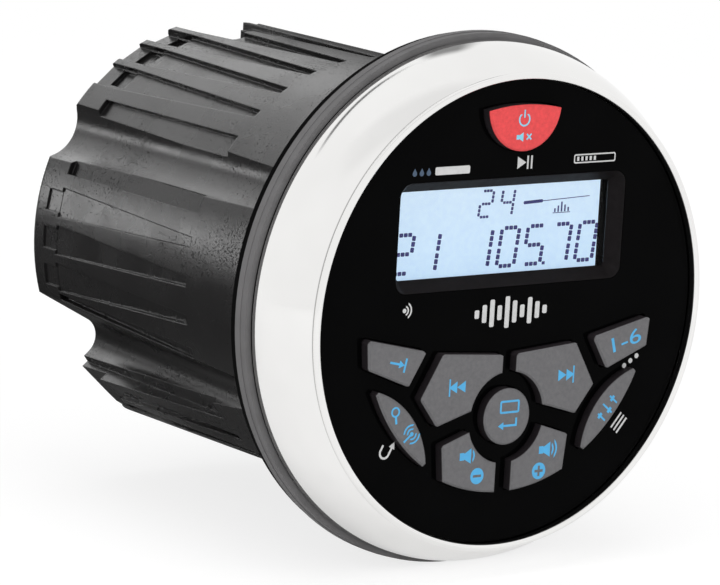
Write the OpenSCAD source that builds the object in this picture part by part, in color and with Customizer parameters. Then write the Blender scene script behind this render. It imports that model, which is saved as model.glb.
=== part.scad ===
// Round marine stereo for a gauge hole: ribbed barrel behind the panel, display and ten keys on the face.
// Frame: +Y runs into the panel, the face looks towards -Y, +X is to the viewer's right and +Z is up.
// Origin: centre of the plane in which the panel gasket meets the panel. All sizes are millimetres.

/* [Barrel behind the panel] */
// Diameter over the rib tips
barrel_d = 82.8; // [80:0.2:85]
// Length of the barrel behind the panel
barrel_len = 82.6; // [78:0.2:96]
// Diameter of the round collar that centres the barrel in the panel hole
collar_d = 84.4; // [84:0.1:85.4]
// Length of the collar behind the panel
collar_len = 3; // [2:0.5:6]
// Diameter of the bore that takes the chassis spigot
barrel_bore_d = 73; // [72:0.2:74]
// Depth of that bore behind the panel
barrel_bore_len = 8; // [6.5:0.5:9]
// Step from that bore to the inner cavity
bore_step = 1.5; // [1:0.1:2]
// Diameter of the inner cavity at its rear end
cavity_rear_d = 58; // [56:0.5:60]
// Thickness of the rear wall
rear_wall = 4.6; // [3.5:0.1:6]
// Rounding of the rib ends at the rear
rib_end_r = 1.2; // [0.8:0.1:1.6]

/* [Ribs and flutes] */
// Distance from the panel to the start of the pockets between the ribs
pocket_start = 28.2; // [24:0.2:32]
// Distance from the rear end to the end of the sloping pocket floors
pocket_tail = 8.8; // [7:0.2:10]
// Width of a pocket at its start
pocket_w_front = 1.9; // [1.4:0.1:2.6]
// Width of a pocket at its rear end
pocket_w_rear = 5.8; // [4.8:0.1:6]
// Depth of a pocket at its start
pocket_d_front = 1.2; // [0.8:0.1:1.6]
// Depth of a top or bottom pocket at its rear end
pocket_d_rear = 1.1; // [0.9:0.1:1.4]
// Depth of a side pocket at its rear end
side_d_rear = 0.4; // [0.3:0.05:0.7]
// Least depth of the rim behind the top pockets
rim_d = 1.3; // [1.1:0.1:1.6]
// Depth of the rim behind the bottom pockets
bottom_rim_d = 0.6; // [0.5:0.05:0.7]
// Height of the flat on top of that rim above the axis
rim_flat_z = 37.2; // [36.5:0.1:38]
// Length of the square mould mark behind a pocket
mark_len = 5; // [4:0.1:5.6]
// Part of that mark that lies in the pocket floor
mark_lead = 0.6; // [0.3:0.1:1]
// Width of that mark
mark_w = 4.2; // [3.4:0.1:4.6]
// Depth of that mark below the rim
mark_d = 0.7; // [0.5:0.1:0.9]
// Sideways shift of that mark towards the top or bottom of the barrel
mark_shift = 0.5; // [0.3:0.1:0.6]
// Depth of the mould mark behind a side pocket
side_mark_d = 0.35; // [0.25:0.05:0.5]
// Angle between neighbouring pockets at the top and bottom
pocket_pitch = 10.1; // [9.8:0.05:10.3]
// Angle between neighbouring pockets at the sides
side_pitch = 10.4; // [10:0.05:10.6]
// Depth of the shallow strips along the flutes
strip_d = 1.1; // [0.8:0.1:1.6]
// Depth of the strip below a lower flute at the rear end
corner_strip_d = 3.7; // [3:0.1:4]
// Distance from the panel to the start of the flutes
flute_start = 9; // [7:0.5:11]
// Radius of the two upper flutes
upper_flute_r = 7.3; // [6:0.1:8]
// Depth of an upper flute at the rear end
upper_flute_d = 3.6; // [2.5:0.1:4]
// Angle of an upper flute above the horizontal
upper_flute_angle = 29.7; // [29:0.1:30.5]
// Radius of the floor of the two lower flutes
lower_flute_r = 4; // [3.5:0.1:4.4]
// Depth of a lower flute at the rear end
lower_flute_d = 9.3; // [8:0.1:9.6]
// Angle of a lower flute below the horizontal at the panel end
lower_flute_angle = 27.9; // [27:0.1:29]
// Sideways drift of a lower flute towards the bottom at the rear end
lower_flute_drift = 5.8; // [5:0.1:6.2]
// Spread of the upper side of a lower flute
lower_flute_flare = 56.2; // [54:0.2:58]
// Spread of its lower side
lower_flute_lean = 13.4; // [10:0.2:16]
// Depth of every flute at the panel end
flute_d_front = 1.6; // [1:0.1:2.2]
// Width of the notch in the top ribs at the rear
notch_w = 16; // [14:0.5:18]
// Length of that notch on the left
notch_len = 17.2; // [15:0.2:18]
// Length of that notch on the right
notch_short_len = 6; // [5:0.2:8]
// Height of the floor of that notch above the axis
notch_z = 36.9; // [36:0.1:37.1]
// Distance of the flat on the lower corners from the axis
corner_flat = 39.6; // [39:0.1:40.4]
// Angle of that flat below the horizontal
corner_angle = 47.4; // [45:0.2:50]
// Length of that flat
corner_flat_len = 9.1; // [8.9:0.1:9.3]

/* [Flange and bezel] */
// Diameter of the grey flange
flange_d = 101.7; // [100:0.1:106]
// Thickness of the flange
flange_t = 3.1; // [2.6:0.1:3.6]
// Height of the step round the flange rim
flange_step = 0.15; // [0.1:0.05:0.4]
// Thickness of the panel gasket
gasket_t = 1.9; // [1.2:0.1:2.5]
// Width of the panel gasket ring
gasket_w = 7.9; // [6.5:0.1:8]
// Gap between flange and bezel, filled by the bezel seal
bezel_gap = 0.6; // [0.3:0.1:0.8]
// Distance from the outer edge of the bezel in to its seal
bezel_seal_inset = 0.15; // [0.1:0.05:0.4]
// Width of the bright bezel outside the face
bezel_w = 5.6; // [5.4:0.1:5.8]
// Diameter of the face inside the bezel
face_d = 88; // [87.6:0.1:88.4]
// Radius of the bezel's curved front
bezel_arc_r = 16; // [15:0.5:20]
// Wall of the bezel shell
bezel_wall = 1.6; // [1.2:0.1:1.8]
// Radius of the bead round the inner edge of the bezel
bead_r = 0.7; // [0.5:0.05:0.9]
// Height of the middle of that bead above the face
bead_height = 1.33; // [1.1:0.01:1.5]
// Height of the foot of the bezel
bezel_foot = 1.7; // [1.2:0.1:2.2]
// Width of the chassis skirt outside the edge of the face
skirt_outside = 1.4; // [1.2:0.1:1.6]
// Width of the chassis skirt inside the edge of the face
skirt_inside = 2; // [1.6:0.1:2.2]
// Distance from the end of the chassis spigot to the end of its bore
spigot_end = 2; // [1.5:0.1:2.5]
// Diameter of the opening in the middle of the chassis
chassis_opening_d = 61; // [60:0.5:62]

/* [Face] */
// Distance from the panel to the front of the face
face_front = 17.7; // [17.2:0.1:18.6]
// Thickness of the faceplate
faceplate_t = 3; // [2.8:0.1:3.2]
// Thickness of the seal under the faceplate
face_seal_t = 0.8; // [0.6:0.1:1.2]
// Thickness of the circuit boards
board_t = 1.6; // [1.2:0.1:2]
// Diameter of the front board
front_board_d = 81; // [80.5:0.1:81.5]
// Distance from the panel to the rear of the front board
front_board_rear = 6.6; // [6.5:0.1:7]
// Diameter of the bosses that carry the front board
boss_d = 4; // [3.8:0.1:4.4]
// Distance from the edge of a board to the middle of its screws
screw_inset = 2.6; // [2.4:0.1:3]

/* [Display] */
// Width of the display opening in the face
display_w = 53.2; // [52:0.2:54]
// Height of the display opening in the face
display_h = 20.8; // [20:0.2:21.6]
// Height of the display centre above the middle of the face
display_z = 15.2; // [14.8:0.1:15.4]
// Corner radius of the display opening
display_r = 2.6; // [2.4:0.1:3.4]
// Inward slope of the recess walls
recess_slope = 2.05; // [1.6:0.05:2.2]
// Depth of the sloping recess
recess_depth = 2.75; // [2.5:0.05:2.9]
// Rim of the surround behind the faceplate
surround_rim = 1.2; // [1:0.1:1.4]
// Thickness of that rim
surround_rim_t = 1; // [0.8:0.1:1.2]
// Lap of the window behind the edge of the recess
window_lap = 1.2; // [0.8:0.1:1.4]
// Thickness of the clear window
window_t = 0.8; // [0.6:0.05:0.85]
// Thickness of the display glass
lcd_t = 1.6; // [1.2:0.1:2]
// Wall of the display frame
lcd_frame_wall = 1.8; // [1.2:0.1:2.2]
// Air gap between the window and the display glass
lcd_gap = 0.15; // [0.1:0.05:0.3]

/* [Keys] */
// Height of the key tops above the face
key_height = 2; // [1.6:0.05:2.4]
// Travel of a key
key_travel = 0.8; // [0.5:0.05:0.8]
// Chamfer round a key top
key_chamfer = 0.35; // [0.2:0.05:0.5]
// Corner radius of the keys
key_corner = 0.8; // [0.5:0.1:1]
// Width of the retaining rim behind the faceplate
key_rim = 0.8; // [0.6:0.05:0.9]
// Thickness of that rim
key_rim_t = 1; // [0.8:0.1:1.1]
// Diameter of the key stem and its plunger
stem_d = 2.8; // [2.2:0.1:3]
// Distance of the round middle key below the centre of the face
enter_z = 19.6; // [19.4:0.1:19.8]
// Diameter of the round middle key
enter_d = 10.8; // [10:0.1:11]
// Radius of the hollow in the skip keys round the middle key
skip_hollow_r = 8.6; // [8.5:0.05:9]
// Radius of the hollow in the volume keys round the middle key
volume_hollow_r = 8.9; // [8.7:0.05:9.2]
// Radius of the lower edge of the volume keys from the centre of the face
volume_edge_r = 34; // [33.5:0.1:34.1]
// Radius of the outer edge of the leaf keys from the centre of the face
leaf_edge_r = 33.5; // [33.2:0.1:33.6]
// Radius of the inner edge of the leaf keys
leaf_inner_r = 17; // [16.6:0.1:17.2]
// Distance from the centre of the face to the centre of that inner edge
leaf_centre_r = 45.6; // [45.5:0.1:46]
// Angle of the leaf keys below the horizontal
leaf_angle = 39.3; // [39:0.1:40]
// Half length of a leaf key
leaf_half = 9.3; // [8.6:0.1:9.4]
// Radius of the curved lower edge of the power key
power_r = 8.45; // [8:0.05:8.6]
// Height of the middle of that curve above the centre of the face
power_z = 39.1; // [38.8:0.1:39.2]
// Radius of the upper edge of the power key from the centre of the face
power_edge_r = 39.4; // [39:0.1:39.5]

/* [Inside] */
// Side of a key switch
switch_w = 6; // [5:0.1:6.2]
// Height of a key switch
switch_h = 2.8; // [2.6:0.1:3]
// Thickness of the sealing mat in front of the switches
mat_t = 1.2; // [0.8:0.1:1.2]
// Width of the main board
main_board_w = 50; // [48:0.5:51]
// Length of the main board
main_board_len = 61; // [58:0.5:63]
// Height of the main board's upper face
main_board_z = -8; // [-9:0.1:-7]
// Height of the rails that carry the main board
rail_h = 5; // [4.5:0.1:6]
// Distance of the rails' inner edge from the edge of the main board
rail_lap = 5; // [4:0.5:6]
// Distance from the barrel bore to the main board
main_board_gap = 0.5; // [0.5:0.1:1]
// Distance from the front edge of the main board to its front screws
main_screw_front = 7; // [6:0.5:8]
// Distance from the rear edge of the main board to its rear screws
main_screw_rear = 6; // [5:0.5:7]
// Width of the amplifier chip
amp_w = 30; // [26:0.5:32]
// Length of the amplifier chip
amp_len = 20; // [18:0.5:21]
// Height of the amplifier chip
amp_h = 4.6; // [4:0.1:5]
// Rim of the heat sink round the amplifier chip
sink_rim = 2; // [1.5:0.1:2.5]
// Thickness of the heat sink base
sink_base = 2.5; // [2:0.1:3]
// Height of the heat sink fins
fin_h = 9; // [7:0.5:11]
// Thickness of the heat sink fins
fin_t = 2; // [1.5:0.1:2.4]
// Number of heat sink fins
fin_count = 7; // [5:1:8]
// Diameter of the two small filter capacitors
small_cap_d = 10; // [8:0.1:10.5]
// Height of the small filter capacitors
small_cap_h = 14; // [12:0.5:16]
// Diameter of the large filter capacitor
large_cap_d = 12.5; // [11:0.1:12.8]
// Height of the large filter capacitor
large_cap_h = 18; // [15:0.5:20]
// Distance from the front edge of the main board to the middle of the capacitors
cap_row = 13.5; // [13:0.1:14]
// Distance from the edge of the main board to the parts along it
part_inset = 3; // [2.5:0.1:3.5]
// Gap between neighbouring parts on the main board
part_gap = 2; // [1.5:0.1:2.5]
// Mean diameter of the choke coil
choke_d = 9.6; // [8.5:0.1:10.5]
// Thickness of the choke coil
choke_t = 5; // [4.4:0.1:5.4]
// Length of the tuner can
tuner_len = 14; // [12:0.5:15]
// Height of the tuner can
tuner_h = 6; // [5:0.5:8]
// Width of the wireless module
wireless_w = 14; // [12:0.5:16]
// Height of the wireless module
wireless_h = 12; // [10:0.5:14]
// Thickness of the wireless module
wireless_t = 2.4; // [2:0.1:3]
// Height of the lower edge of the wireless module above the axis
wireless_z = 8; // [7:0.5:9]
// Width of the connector between the boards
connector_w = 24; // [20:0.5:26]
// Height of that connector
connector_h = 5; // [4:0.5:6]
// Lap of that connector on the main board
connector_lap = 4; // [3:0.5:4.5]
// Diameter of the screw shanks
screw_d = 2.5; // [2:0.1:2.6]
// Diameter of the screw heads
screw_head_d = 4.4; // [4:0.1:4.6]
// Height of the screw heads
screw_head_h = 1.4; // [1.2:0.1:1.5]
// Length of the board screws behind the board
board_thread = 3.5; // [3:0.1:4]
// Length of the housing screws behind the flange
housing_thread = 5; // [4:0.5:6]
// Free depth of a screw hole behind the screw
thread_spare = 0.5; // [0.3:0.1:0.8]
// Diameter of the section of the barrel seal
oring_d = 1.8; // [1.4:0.1:2]
// Distance from the panel to the groove of that seal
oring_at = 1; // [0.8:0.1:1.4]

/* [Rear fittings] */
// Diameter of the mounting studs
stud_d = 5; // [4:0.5:6]
// Free length of the mounting studs
stud_len = 14; // [10:0.5:18]
// Distance between the mounting studs
stud_spacing = 42; // [38:0.5:44]
// Diameter of the moulded-in head of a stud
stud_head_d = 8; // [7:0.1:9]
// Wall left inside that head
stud_head_wall = 1; // [0.8:0.1:1.4]
// Diameter of the hole for the harness gland
harness_hole_d = 12; // [10:0.5:13]
// Diameter of the hole for the signal gland
signal_hole_d = 10; // [8:0.5:11]
// Height of the harness gland below the axis
harness_z = -17; // [-18:0.5:-16]
// Height of the signal gland above the axis
signal_z = 13; // [12:0.5:16]
// Cable passage as a share of a gland's hole
gland_bore = 0.55; // [0.4:0.05:0.6]
// Width of a gland's lip inside the rear wall
gland_lip = 1.4; // [1:0.1:1.8]
// Width of a gland's flange outside the rear wall
gland_flange = 2; // [1.5:0.1:2.5]
// Thickness of that flange
gland_flange_t = 2; // [1.5:0.1:2.5]
// Length of a gland outside the rear wall
gland_len = 6; // [5:0.5:8]
// Wall of a gland's tapering end
gland_wall = 1.6; // [1.2:0.1:1.8]

/* [Clearances] */
// Gap round a sliding key in the faceplate
key_gap = 0.3; // [0.2:0.05:0.4]
// Gap round a stem in the mat and the switch
stem_gap = 0.35; // [0.3:0.05:0.45]
// Gap between fixed pieces that push into each other
fit_gap = 0.1; // [0.05:0.05:0.2]
// Gap between the chassis spigot and the barrel bore
spigot_gap = 0.3; // [0.2:0.05:0.4]

/* [Hidden] */
$fn = 96;
eps = 0.01;
over = 1;

barrel_r = barrel_d / 2;
barrel_bore_r = barrel_bore_d / 2;
collar_r = collar_d / 2;
cavity_front_r = barrel_bore_r - bore_step;
cavity_rear_r = cavity_rear_d / 2;
cavity_end = barrel_len - rear_wall;
pocket_end = barrel_len - pocket_tail;
flute_len = barrel_len - flute_start;

// Stations along Y, negative towards the viewer
flange_rear = -gasket_t;
flange_front = flange_rear - flange_t;
bezel_rear = flange_front - bezel_gap;
face_y = -face_front;
faceplate_rear = face_y + faceplate_t;
skirt_top = faceplate_rear + face_seal_t;
window_front = face_y + recess_depth;
window_rear = window_front + window_t;
surround_rear = faceplate_rear + surround_rim_t;
lcd_front = window_rear + lcd_gap;
lcd_rear = lcd_front + lcd_t;
board_rear = -front_board_rear;
board_front = board_rear - board_t;
switch_top = board_front - switch_h;
mat_front = switch_top - mat_t;
key_top = face_y - key_height;
rim_front = faceplate_rear + key_gap;
rim_rear = rim_front + key_rim_t;
stem_end = switch_top - fit_gap;
plunger_end = board_front - key_travel - fit_gap;

// Radii of the front
flange_r = flange_d / 2;
face_r = face_d / 2;
faceplate_r = face_r - 2 * fit_gap;
bezel_r = face_r + bezel_w;
skirt_r = face_r + skirt_outside;
skirt_inner_r = face_r - skirt_inside;
foot_r = skirt_r + 2 * fit_gap;
spigot_r = barrel_bore_r - spigot_gap;
oring_r = oring_d / 2;
front_board_r = front_board_d / 2;
screw_r = screw_d / 2;
stem_r = stem_d / 2;
bead_y = face_y - bead_height;
boss_r = boss_d / 2;
stud_head_r = stud_head_d / 2;
window_w = display_w - 2 * recess_slope + 2 * window_lap;
window_h = display_h - 2 * recess_slope + 2 * window_lap;
window_r = display_r - recess_slope + window_lap / 3;

// Outlines of the keys on the right, counter-clockwise, in face coordinates
side_points = [[33.4, -2.7], [19.6, -5.8], [23.4, -12.2], [32.9, -8.4]];
skip_points = [[15.7, -6.6], [1.6, -7.7], [1.6, -15.9], [16.4, -20.3], [20.5, -14.9]];
volume_points = [[14.9, -24.1], [1.85, -19.7], [1.85, -36], [13.7, -36]];
enter_at = [0, -enter_z];
leaf_at = leaf_centre_r * [cos(leaf_angle), -sin(leaf_angle)];
leaf_middle = (leaf_edge_r + leaf_centre_r - leaf_inner_r) / 2 * [cos(leaf_angle), -sin(leaf_angle)];
power_at = [0, power_z];

// Places of the key switches
power_spot = [0, (power_z - power_r + power_edge_r) / 2];
side_spot = middle(side_points);
skip_spot = middle(skip_points);
volume_spot = middle(volume_points);

board_screw_angles = [25, 155, 238, 302];
board_screw_ring = front_board_r - screw_inset;
housing_screw_ring = (barrel_r + barrel_bore_r) / 2;

// Edges of the strips, as angles from the front end of their flute: both at the front, both at the rear
upper_strips = [[5.9, 11.8, 5.9, 11.8], [-11.4, -6.3, -11.4, -6.3]];
lower_strip = [5.9, 9.5, 11, 12.7];
corner_strip = [-13.6, -3, -17, -5];

// Layout of the main board
main_board_front = barrel_bore_len + main_board_gap;
main_board_rear = main_board_front + main_board_len;
main_screw_x = main_board_w / 2 - screw_inset;
main_screw_y = [main_board_front + main_screw_front, main_board_rear - main_screw_rear];
rail_x = main_board_w / 2 - rail_lap;
rail_top = main_board_z - board_t;
sink_w = amp_w + 2 * sink_rim;
sink_len = amp_len + 2 * sink_rim;
sink_y = main_board_rear - sink_len;
cap_y = main_board_front + cap_row;
small_cap_x = part_inset + small_cap_d / 2 - main_board_w / 2;
large_cap_x = main_board_w / 2 - part_inset - large_cap_d / 2;
tuner_y = cap_y + small_cap_d / 2 + part_gap;
tuner_w = main_board_w / 2 - part_inset - 3 * part_gap / 2;
choke_x = main_board_w / 2 - part_inset - (choke_d + choke_t) / 2;
choke_y = (cap_y + large_cap_d / 2 + sink_y) / 2;

function unit(v) = v / norm(v);
function middle(points) = [for (i = [0, 1]) [for (p = points) p[i]] * [for (p = points) 1] / len(points)];
function outward(p, q) = unit([q[1] - p[1], p[0] - q[0]]);
function grown(points, by) =
    let (n = len(points))
    [for (i = [0:n - 1])
        let (a = outward(points[(i + n - 1) % n], points[i]))
        let (b = outward(points[i], points[(i + 1) % n]))
        points[i] + by * (a + b) / (1 + a * b)];

// Flat outline in the plane of the face, made solid between two stations along Y
module slab(from, to) {
    translate([0, to, 0]) rotate([90, 0, 0]) linear_extrude(to - from) children();
}

// Solid whose own height points out of the face, standing on the plane at a station
module facing(y) {
    translate([0, y, 0]) rotate([90, 0, 0]) children();
}

// Profile of radius and Y turned about the axis of the barrel
module turned() {
    rotate([-90, 0, 0]) rotate_extrude() children();
}

// Round bar along Y
module rod(r, from, to) {
    translate([0, from, 0]) rotate([-90, 0, 0]) cylinder(r = r, h = to - from);
}

// Turn from the right-hand side to an angle round the barrel, counter-clockwise seen from the front
module around(angle) {
    rotate([0, -angle, 0]) children();
}

// Outline in length and width along the barrel, made solid outwards from a radius
module outwards(radius, height) {
    translate([radius, 0, 0]) rotate([90, 0, 90]) linear_extrude(height) children();
}

// Convex outline with rounded corners
module rounded(points, r) {
    core = grown(points, -r);
    n = len(core);
    polygon(core);
    for (i = [0:n - 1]) {
        a = core[i];
        b = core[(i + 1) % n];
        side = r * outward(a, b);
        polygon([a, a + side, b + side, b]);
        translate(a) circle(r = r + eps, $fn = 32);
    }
}

// Rectangle with rounded corners round the display centre
module display_outline(w, h, r) {
    translate([0, display_z]) {
        square([w - 2 * r, h], center = true);
        square([w, h - 2 * r], center = true);
        for (x = [-1, 1], z = [-1, 1])
            translate([x * (w / 2 - r), z * (h / 2 - r)]) circle(r = r + eps, $fn = 32);
    }
}

// Disc with a chamfered upper edge
module puck(r, h, chamfer) {
    if (chamfer > 0)
        rotate_extrude() polygon([[0, 0], [r, 0], [r, h - chamfer], [r - chamfer, h], [0, h]]);
    else
        cylinder(r = r, h = h);
}

// Prism with rounded corners and a chamfered upper edge
module chamfered_prism(points, h, chamfer) {
    n = len(points);
    difference() {
        linear_extrude(h) rounded(points, key_corner);
        if (chamfer > 0)
            for (i = [0:n - 1]) {
                a = points[i];
                b = points[(i + 1) % n];
                translate([a[0], a[1], h - chamfer])
                    rotate([0, 0, atan2(b[1] - a[1], b[0] - a[0])])
                    rotate([45, 0, 0])
                    translate([-over, -over, 0])
                    cube([norm(b - a) + 2 * over, 3 * over, 2 * over]);
            }
    }
}

// Hollow edge of a key, with its chamfer
module hollow_cut(at, r, h, chamfer) {
    translate([at[0], at[1], 0]) rotate_extrude() polygon([
        [0, -over], [r, -over], [r, h - chamfer], [r + chamfer + over, h + over], [0, h + over]]);
}

// One key on the right-hand side, grown all round by a margin
module key_form(kind, margin, h, chamfer) {
    if (kind == "side")
        chamfered_prism(grown(side_points, margin), h, chamfer);
    if (kind == "skip")
        difference() {
            chamfered_prism(grown(skip_points, margin), h, chamfer);
            hollow_cut(enter_at, skip_hollow_r - margin, h, chamfer);
        }
    if (kind == "volume")
        intersection() {
            difference() {
                chamfered_prism(grown(volume_points, margin), h, chamfer);
                hollow_cut(enter_at, volume_hollow_r - margin, h, chamfer);
            }
            puck(volume_edge_r + margin, h, chamfer);
        }
    if (kind == "leaf")
        intersection() {
            puck(leaf_edge_r + margin, h, chamfer);
            translate(leaf_at) puck(leaf_inner_r + margin, h, chamfer);
            translate(leaf_middle) puck(leaf_half + margin, h, chamfer);
        }
    if (kind == "enter")
        translate(enter_at) puck(enter_d / 2 + margin, h, chamfer);
    if (kind == "power")
        intersection() {
            puck(power_edge_r + margin, h, chamfer);
            translate(power_at) puck(power_r + margin, h, chamfer);
        }
}

// Put something made for the right-hand side on one side of the face
module on_side(side) {
    mirror([side < 0 ? 1 : 0, 0, 0]) children();
}

// Every key in turn
module each_key() {
    $kind = "power";
    $spot = power_spot;
    children();
    enter_child() children();
    for (side = [-1, 1])
        on_side(side) paired_child() children();
}

module enter_child() {
    $kind = "enter";
    $spot = enter_at;
    children();
}

module paired_child() {
    kinds = ["side", "skip", "leaf", "volume"];
    spots = [side_spot, skip_spot, leaf_middle, volume_spot];
    for (i = [0:3]) {
        $kind = kinds[i];
        $spot = spots[i];
        children();
    }
}

// Moulded key: cap through the faceplate, retaining rim behind it and a stem
module push_key(kind, side, spot) {
    on_side(side) {
        facing(rim_front) key_form(kind, 0, rim_front - key_top, key_chamfer);
        facing(rim_rear) key_form(kind, key_rim, key_rim_t, 0);
        translate([spot[0], 0, spot[1]]) rod(stem_r, rim_rear - eps, stem_end);
    }
}

// Actuator of a key switch
module plunger(side, spot) {
    color("white") on_side(side) translate([spot[0], 0, spot[1]]) rod(stem_r, stem_end, plunger_end);
}

// Pan head screw along Y, head towards the viewer
module screw(shank) {
    rod(screw_head_d / 2, 0, screw_head_h);
    rod(screw_r, screw_head_h - eps, screw_head_h + shank);
}

// Pocket between two ribs: sloping floor, end wall, low rim behind it if any, and a square mould mark
module rib_pocket(floor_d, rim, shift) {
    half_front = pocket_w_front / 2;
    half_rear = pocket_w_rear / 2;
    rear = barrel_len + 2 * over;
    outside = barrel_r + 2 * over;
    mark = rim > 0 ? rim + mark_d : side_mark_d;
    tail = rim > 0
        ? [[barrel_r - rim, pocket_end], [barrel_r - rim, rear], [outside, rear]]
        : [[outside, pocket_end]];
    intersection() {
        outwards(barrel_r - rim - 2 * over, rim + 5 * over) polygon([
            [pocket_start, -half_front], [pocket_end, -half_rear], [rear + over, -half_rear],
            [rear + over, half_rear], [pocket_end, half_rear], [pocket_start, half_front]]);
        linear_extrude(2 * pocket_w_rear, center = true) polygon(concat(
            [[barrel_r - pocket_d_front, pocket_start - over], [barrel_r - floor_d, pocket_end]],
            tail, [[outside, pocket_start - over]]));
    }
    outwards(barrel_r - mark, mark + over)
        translate([pocket_end - mark_lead, shift - mark_w / 2]) square([mark_len, mark_w]);
}

// Fan of pockets round the top or the bottom of the barrel, the rim cut down to a flat
module pocket_fan(middle_angle, least_rim, flat_z) {
    for (n = [-4:4]) {
        rim = max(least_rim, barrel_r - flat_z / cos(n * pocket_pitch));
        around(middle_angle + n * pocket_pitch) rib_pocket(pocket_d_rear, rim, -sign(n) * mark_shift);
    }
}

// Strip beside a flute, between two edges at the front and two at the rear, with a floor that may slope
module flute_strip(edges, d_rear, end) {
    mid = (edges[0] + edges[1] + edges[2] + edges[3]) / 4;
    across = [for (edge = edges) barrel_r * sin(edge - mid)];
    around(mid) intersection() {
        outwards(barrel_r - d_rear - over, d_rear + 3 * over) polygon([
            [pocket_start, across[0]], [end, across[2]], [end, across[3]], [pocket_start, across[1]]]);
        linear_extrude(barrel_r, center = true) polygon([
            [barrel_r - strip_d, pocket_start - over], [barrel_r - d_rear, end + over],
            [barrel_r + over, end + over], [barrel_r + over, pocket_start - over]]);
    }
}

// Round groove that deepens towards the rear
module upper_flute() {
    slope = atan((upper_flute_d - flute_d_front) / flute_len);
    translate([barrel_r - flute_d_front + upper_flute_r, flute_start, 0])
        rotate([0, 0, slope])
        rod(upper_flute_r, 0, flute_len + 5 * over);
}

// Deep groove with a round floor, a flaring upper side and a steep lower side
module lower_flute() {
    slope = atan((lower_flute_d - flute_d_front) / flute_len);
    drift = atan(lower_flute_drift / flute_len);
    foot = lower_flute_r - eps;
    reach = 4 * lower_flute_r;
    upper = [cos(lower_flute_flare), sin(lower_flute_flare)];
    lower = [cos(lower_flute_lean), -sin(lower_flute_lean)];
    upper_foot = foot * [-upper[1], upper[0]];
    lower_foot = foot * [lower[1], -lower[0]];
    translate([barrel_r - flute_d_front + lower_flute_r, flute_start, 0])
        rotate([-drift, 0, slope]) {
            rod(lower_flute_r, 0, flute_len + 5 * over);
            slab(0, flute_len + 5 * over) polygon([
                lower_foot, lower_foot + reach * lower, upper_foot + reach * upper, upper_foot]);
        }
}

// Flutes, strips and lower corner flat on the right-hand side
module side_cuts() {
    around(upper_flute_angle) {
        upper_flute();
        for (edges = upper_strips) flute_strip(edges, strip_d, pocket_end);
    }
    around(-lower_flute_angle) {
        lower_flute();
        flute_strip(lower_strip, strip_d, pocket_end);
        flute_strip(corner_strip, corner_strip_d, barrel_len + over);
    }
    around(-corner_angle)
        translate([corner_flat, barrel_len - corner_flat_len, -barrel_r / 2])
        cube([barrel_r - corner_flat + over, corner_flat_len + over, barrel_r]);
    for (n = [-1:1])
        around(n * side_pitch) rib_pocket(side_d_rear, 0, 0);
}

// Barrel before it is hollowed, with the collar for the panel hole and rounded rib ends
module barrel_blank() {
    step = 0.3 * rib_end_r;
    turned() polygon([
        [0, flange_rear], [barrel_r, flange_rear], [barrel_r, 0], [collar_r, 0],
        [collar_r, collar_len], [barrel_r, collar_len], [barrel_r, barrel_len - rib_end_r],
        [barrel_r - step, barrel_len - step], [barrel_r - rib_end_r, barrel_len], [0, barrel_len]]);
}

// Space inside the barrel, with the rails for the main board left standing
module cavity() {
    difference() {
        turned() polygon([
            [0, flange_rear - over], [barrel_bore_r, flange_rear - over], [barrel_bore_r, barrel_bore_len],
            [cavity_front_r, barrel_bore_len], [cavity_rear_r, cavity_end], [0, cavity_end]]);
        for (side = [0, 1])
            mirror([side, 0, 0])
                translate([rail_x, barrel_bore_len + over, rail_top - rail_h])
                cube([barrel_r, cavity_end, rail_h]);
    }
}

module rear_housing() {
    color("#2b2a2c") difference() {
        barrel_blank();
        pocket_fan(90, rim_d, rim_flat_z);
        pocket_fan(270, bottom_rim_d, barrel_r);
        for (side = [-1, 1])
            on_side(side) side_cuts();
        translate([-notch_w / 2, barrel_len - notch_len, notch_z])
            cube([notch_w / 2, notch_len + over, barrel_r - notch_z + over]);
        translate([-over, barrel_len - notch_short_len, notch_z])
            cube([notch_w / 2 + over, notch_short_len + over, barrel_r - notch_z + over]);
        cavity();
        for (angle = [45:90:315])
            around(angle) translate([housing_screw_ring, 0, 0])
                rod(screw_r, flange_rear - over, flange_rear + housing_thread + thread_spare);
        for (side = [-1, 1], y = main_screw_y)
            translate([side * main_screw_x, y, rail_top - board_thread - thread_spare])
                cylinder(r = screw_r, h = board_thread + thread_spare + over);
        for (side = [-1, 1])
            translate([side * stud_spacing / 2, 0, 0])
                rod(stud_head_r + fit_gap, cavity_end + stud_head_wall, barrel_len + over);
        translate([0, 0, harness_z]) rod(harness_hole_d / 2, cavity_end - over, barrel_len + over);
        translate([0, 0, signal_z]) rod(signal_hole_d / 2, cavity_end - over, barrel_len + over);
    }
}

module front_chassis() {
    color("#807f80") difference() {
        union() {
            turned() polygon([
                [chassis_opening_d / 2, flange_front], [flange_r - flange_step, flange_front],
                [flange_r - flange_step, (flange_front + flange_rear) / 2],
                [flange_r, (flange_front + flange_rear) / 2],
                [flange_r, flange_rear], [chassis_opening_d / 2, flange_rear]]);
            turned() translate([skirt_inner_r, skirt_top])
                square([skirt_r - skirt_inner_r, flange_front - skirt_top + eps]);
            turned() translate([chassis_opening_d / 2, flange_rear - eps])
                square([spigot_r - chassis_opening_d / 2, barrel_bore_len - spigot_end - flange_rear]);
        }
        turned() translate([barrel_bore_r - oring_d - fit_gap, oring_at])
            square([oring_d, oring_d + 2 * fit_gap]);
        for (angle = [45:90:315])
            around(angle) translate([housing_screw_ring, 0, 0]) {
                rod(screw_r + fit_gap, flange_front - over, flange_rear + over);
                rod(screw_head_d / 2 + fit_gap, flange_front - over, flange_front + screw_head_h);
            }
    }
}

module panel_gasket() {
    color("#141414") turned() translate([collar_r + spigot_gap, flange_rear]) square([gasket_w, gasket_t]);
}

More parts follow.
